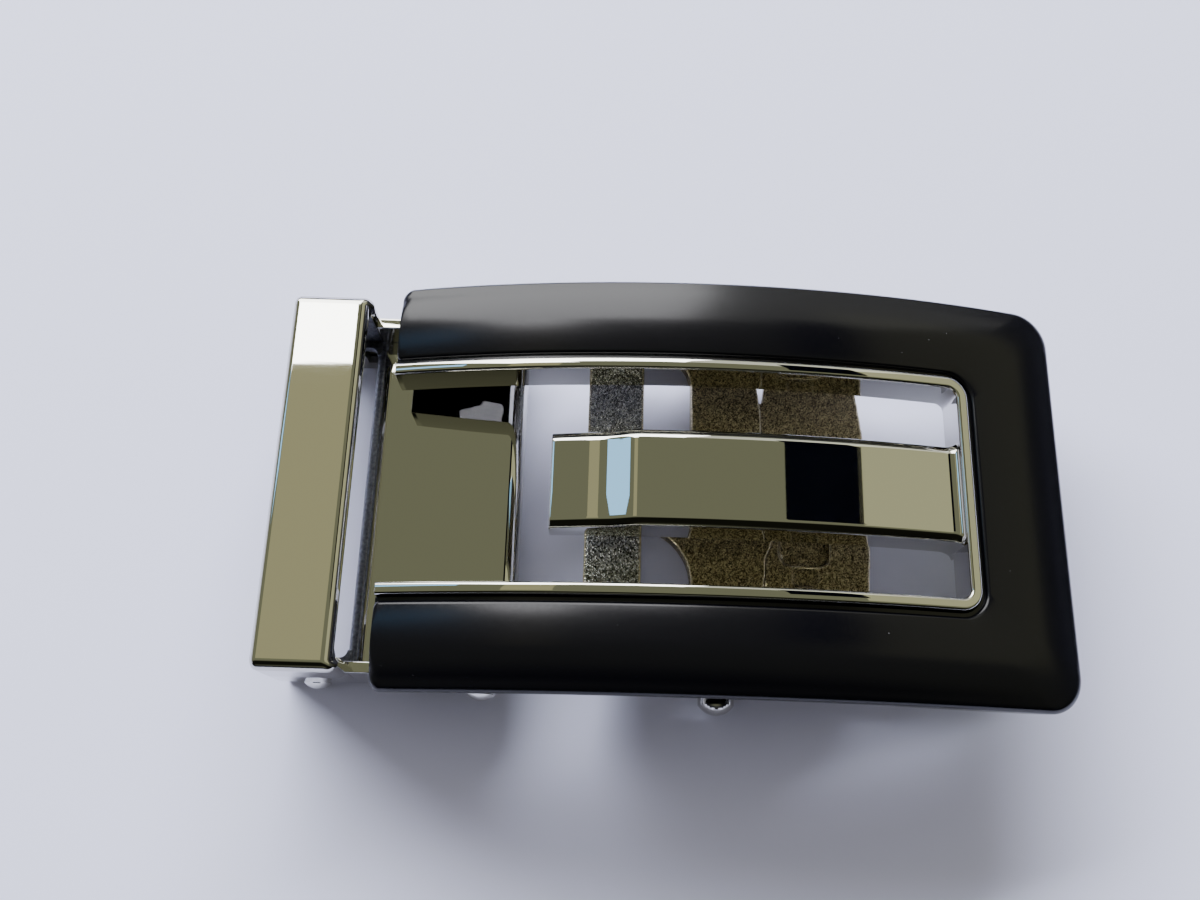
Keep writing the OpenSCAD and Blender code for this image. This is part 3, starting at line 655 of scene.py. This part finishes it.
# the lights, in metres: toPaper lets a light reach the paper, and inMetal shows it in the polished metal
lights = {
    "windowWall": dict(place=(-0.24, 0.55, 0.65), aim=(-0.24, 0, 0.65), size=(0.62, 0.88), bright=9.8,
                       color="#f8f9f5", toPaper=False, inMetal=True),
    "windowTop": dict(place=(-0.419, 0.55, 1.205), aim=(-0.419, 0, 1.205), size=(0.262, 0.23), bright=14.0,
                      color="#f8f9f5", toPaper=False, inMetal=True),
    "windowSide": dict(place=(0.32, 0.55, 0.65), aim=(0.32, 0, 0.65), size=(0.5, 0.88), bright=0.9,
                       color="#f3f4e6", toPaper=False, inMetal=True),
    "farWall": dict(place=(-0.1, 1.1, 0.18), aim=(-0.1, 0, 0.18), size=(2.6, 0.34), bright=1.6,
                    color="#e6e9fa", toPaper=True, inMetal=False),
    "leftWall": dict(place=(-1.3, 0.0, 0.25), aim=(0, 0, 0.25), size=(1.8, 0.5), bright=0.9,
                     color="#f2f4ff", toPaper=False, inMetal=True),
    "softbox": dict(place=(-0.36, 1.05, 0.6), aim=(0, 0, 0), size=(1.9, 0.5), bright=30.5,
                    color="#e6eaff", toPaper=True, inMetal=False),
    "overhead": dict(place=(0.0, 0.1, 0.9), aim=(0, 0.1, 0), size=(1.2, 1.2), bright=0.62,
                     color="#cdc9ff", toPaper=True, inMetal=False),
    "skylight": dict(place=(-0.45, 0.2135, 0.55), aim=(-0.45, 0.2135, 0), size=(0.27, 0.075), bright=2.1,
                     color="#84caff", toPaper=False, inMetal=True),
    "leftCard": dict(place=(-0.2065, 0.121, 0.60), aim=(-0.2065, 0.121, 0), size=(0.087, 0.282), bright=0.29,
                     color="#fdf3b4", toPaper=True, inMetal=True),
    "rightCard": dict(place=(0.865, 0.36, 0.60), aim=(0.865, 0.36, 0), size=(1.06, 0.72), bright=0.66,
                      color="#c9c79c", toPaper=True, inMetal=True),
}
for name, light in lights.items():
    lamp = bpy.data.lights.new(name, "AREA")
    lamp.shape = "RECTANGLE"
    lamp.size, lamp.size_y = light["size"]
    # bright is how bright the light looks, whatever its size
    lamp.energy = light["bright"] * math.pi * light["size"][0] * light["size"][1]
    lamp.color = hexColor(light["color"])[:3]
    holder = bpy.data.objects.new(name, lamp)
    holder.location = light["place"]
    holder.rotation_euler = (Vector(light["aim"]) - Vector(light["place"])).to_track_quat("-Z", "Y").to_euler()
    holder.visible_camera = False
    holder.visible_diffuse = light["toPaper"]
    holder.visible_glossy = light["inMetal"]
    bpy.context.scene.collection.objects.link(holder)

# a flag of black felt, which swallows nearly all light and only shows in the polished metal, in metres
feltFlag = {"x": (0.2, 0.343), "y": (0.1, 0.4), "height": 0.6, "color": "#05060a"}

(x0, x1), (y0, y1), z = feltFlag["x"], feltFlag["y"], feltFlag["height"]
felt = dullMaterial("black felt", feltFlag["color"], 1.0, 0.0)
flag = flatSheet("darkFlag", [(x0, y0, z), (x1, y0, z), (x1, y1, z), (x0, y1, z)], felt)
flag.visible_camera = flag.visible_diffuse = flag.visible_shadow = False
print("paper, room and lights made")

# the camera: lens, sensor, clip and place in millimetres, tilt in degrees
cameraAt = {"lens": 33.0, "sensor": 36, "clipStart": 5.0, "tilt": (-18.38, 0.33, -1.88),
            "place": (-8.18, -31.22, 117.50)}
cam = bpy.data.cameras.new("camera")
cam.lens = cameraAt["lens"]
cam.sensor_width = cameraAt["sensor"]
cam.clip_start = cameraAt["clipStart"] * mm
camera = bpy.data.objects.new("camera", cam)
bpy.context.scene.collection.objects.link(camera)
tiltX, tiltY, tiltZ = (math.radians(a) for a in cameraAt["tilt"])
turn = Matrix.Rotation(tiltZ, 3, "Z") @ Matrix.Rotation(tiltY, 3, "Y") @ Matrix.Rotation(tiltX, 3, "X")
camera.matrix_world = Matrix.Translation(Vector(cameraAt["place"]) * mm) @ turn.transposed().to_4x4()
bpy.context.scene.camera = camera
print("camera set")
